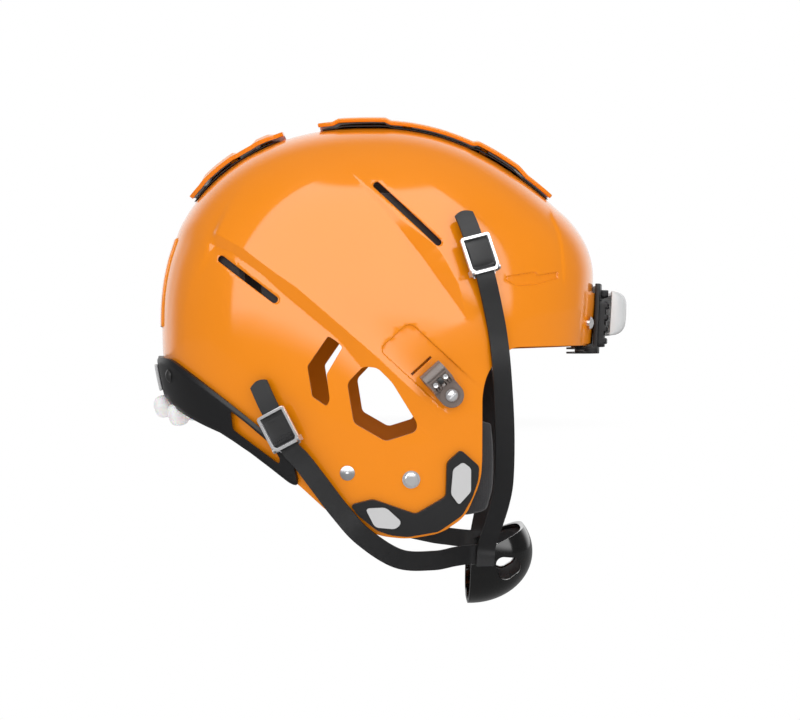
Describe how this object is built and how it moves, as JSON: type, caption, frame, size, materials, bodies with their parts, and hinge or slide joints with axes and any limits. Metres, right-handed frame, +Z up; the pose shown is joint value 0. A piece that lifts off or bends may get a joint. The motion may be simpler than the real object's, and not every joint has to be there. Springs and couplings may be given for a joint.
{
  "type": "football helmet",
  "caption": "Football helmet without its face guard: moulded shell, floating crown plates, padded liner, bumpers, side clips and a four-point chin strap with a hard cup.",
  "frame": {"origin": "middle of the wearer's head, 8 mm under the brow edge, on the plane of symmetry", "axes": "+X to the face, +Y to the wearer's left, +Z up"},
  "size_m": [0.3266, 0.253, 0.3362],
  "materials": {
    "shell_orange": "glossy moulded polycarbonate",
    "plate_orange": "glossy moulded plate",
    "cushion_grey": "dull soft moulding",
    "bumper_black": "satin moulded rubber",
    "plate_white": "clear white moulding",
    "badge_grey": "satin, bare",
    "guard_grey": "satin moulded",
    "clip_smoke": "smoke translucent, ribbed",
    "chrome": "polished",
    "steel": "satin",
    "snap_black": "satin",
    "pad_black": "knit cloth over foam",
    "nape_white": "translucent white lobes",
    "strap_black": "coated webbing",
    "cup_black": "glossy hard cup",
    "cup_foam": "cloth over foam"
  },
  "bodies": {
    "helmet": {"shell": "shell_orange", "plate_cushion_front": "cushion_grey", "plate_cushion_rear": "cushion_grey", "plate_grommets": "cushion_grey", "front_bumper": "bumper_black", "front_plate": "plate_white", "front_bumper_screws": "chrome", "rear_bumper": "bumper_black", "rear_plate": "badge_grey", "rear_bumper_screws": "chrome", "jaw_guard_left": "guard_grey", "jaw_guard_right": "guard_grey", "badges_left": "badge_grey", "badges_right": "badge_grey", "side_clip_left": "clip_smoke", "side_clip_right": "clip_smoke", "clip_nuts": "steel", "spare_stud_left": "chrome", "spare_stud_right": "chrome", "strap_studs": "chrome", "snap_caps": "snap_black", "pad_rivets": "steel", "crown_pad": "pad_black", "front_pad": "pad_black", "back_pad": "pad_black", "side_pad_left": "pad_black", "side_pad_right": "pad_black", "jaw_pad_left": "pad_black", "jaw_pad_right": "pad_black", "nape_cushion": "nape_white", "upper_strap_left": "strap_black", "upper_strap_right": "strap_black", "lower_strap_left": "strap_black", "lower_strap_right": "strap_black", "buckle_base_upper_left": "steel", "buckle_base_upper_right": "steel", "buckle_base_lower_left": "steel", "buckle_base_lower_right": "steel", "buckle_pins": "steel", "chin_cup": "cup_black", "chin_cup_pad": "cup_foam"},
    "front_crown_body": {"crown_plate_front": "plate_orange", "plate_screws_front": "steel"},
    "rear_crown_body": {"crown_plate_rear": "plate_orange", "plate_screws_rear": "steel"},
    "buckle_upper_left_body": {"buckle_frame_upper_left": "chrome"},
    "buckle_lower_left_body": {"buckle_frame_lower_left": "chrome"},
    "quarter_turn_left_body": {"quarter_turn_left": "chrome"},
    "buckle_upper_right_body": {"buckle_frame_upper_right": "chrome"},
    "buckle_lower_right_body": {"buckle_frame_lower_right": "chrome"},
    "quarter_turn_right_body": {"quarter_turn_right": "chrome"}
  },
  "joints": [
    {"name": "front_plate_float", "type": "slide", "parent": "helmet", "child": "front_crown_body", "axis": [0.2924, 0, 0.9563], "range_m": [-0.0012, 0], "stiffness_N_per_m": 20000},
    {"name": "rear_plate_float", "type": "slide", "parent": "helmet", "child": "rear_crown_body", "axis": [-0.6018, 0, 0.7986], "range_m": [-0.0012, 0], "stiffness_N_per_m": 20000},
    {"name": "buckle_upper_left_flip", "type": "hinge", "parent": "helmet", "child": "buckle_upper_left_body", "pos_m": [0.05343, 0.11621, 0.05639], "axis": [-0.9148, 0.3146, -0.2533], "range_deg": [0, 100]},
    {"name": "buckle_lower_left_flip", "type": "hinge", "parent": "helmet", "child": "buckle_lower_left_body", "pos_m": [-0.07087, 0.11773, -0.05282], "axis": [-0.8422, -0.2949, -0.4514], "range_deg": [0, 100]},
    {"name": "quarter_turn_left_lock", "type": "hinge", "parent": "helmet", "child": "quarter_turn_left_body", "pos_m": [0.03179, 0.11322, -0.02195], "axis": [0.1631, 0.9857, -0.0414], "range_deg": [0, 90]},
    {"name": "buckle_upper_right_flip", "type": "hinge", "parent": "helmet", "child": "buckle_upper_right_body", "pos_m": [0.05343, -0.11621, 0.05639], "axis": [0.9148, 0.3146, 0.2533], "range_deg": [0, 100]},
    {"name": "buckle_lower_right_flip", "type": "hinge", "parent": "helmet", "child": "buckle_lower_right_body", "pos_m": [-0.07087, -0.11773, -0.05282], "axis": [0.8422, -0.2949, 0.4514], "range_deg": [0, 100]},
    {"name": "quarter_turn_right_lock", "type": "hinge", "parent": "helmet", "child": "quarter_turn_right_body", "pos_m": [0.03179, -0.11322, -0.02195], "axis": [0.1631, -0.9857, -0.0414], "range_deg": [0, 90]}
  ]
}
